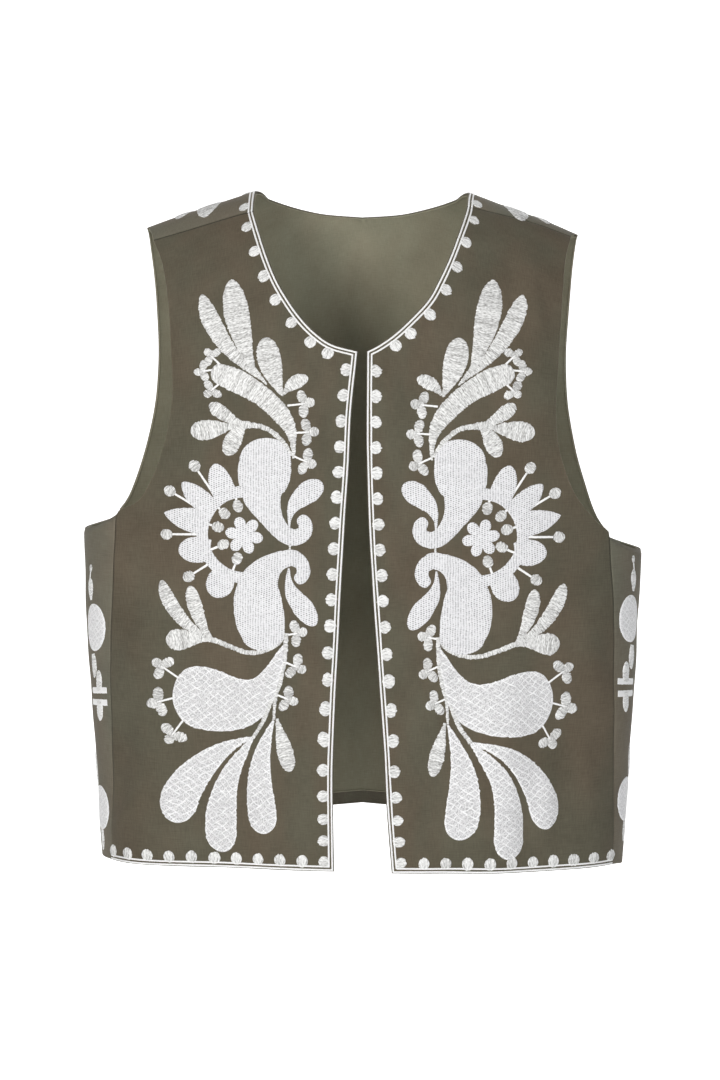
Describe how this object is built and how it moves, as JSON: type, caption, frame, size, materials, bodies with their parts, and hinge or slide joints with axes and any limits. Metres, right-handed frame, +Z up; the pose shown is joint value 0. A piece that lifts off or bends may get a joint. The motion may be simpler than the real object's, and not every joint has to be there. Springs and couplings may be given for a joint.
{
  "type": "embroidered folk vest",
  "caption": "Short sleeveless folk vest, worn open, with a scooped neck, deep armholes and straight hems; a hollow cloth shell with a lined back.",
  "frame": {"origin": "midway between the shoulders at the height where the neck meets the shoulder ridge, where the vest hangs on its wearer", "axes": "+Z up, -Y out of the front, +X to the wearer's left"},
  "size_m": [0.4363, 0.2198, 0.5282],
  "materials": {
    "front_cloth": "dark olive-brown plain-weave cloth with white embroidery",
    "back_cloth": "dark olive plain-weave cloth with white embroidery",
    "lining_cloth": "plain grey-olive lining cloth",
    "embroidery": "white embroidery thread with a soft sheen"
  },
  "bodies": {
    "root": {"front_right": "front_cloth", "front_left": "front_cloth", "back": "back_cloth", "back_lining": "lining_cloth"}
  },
  "joints": []
}
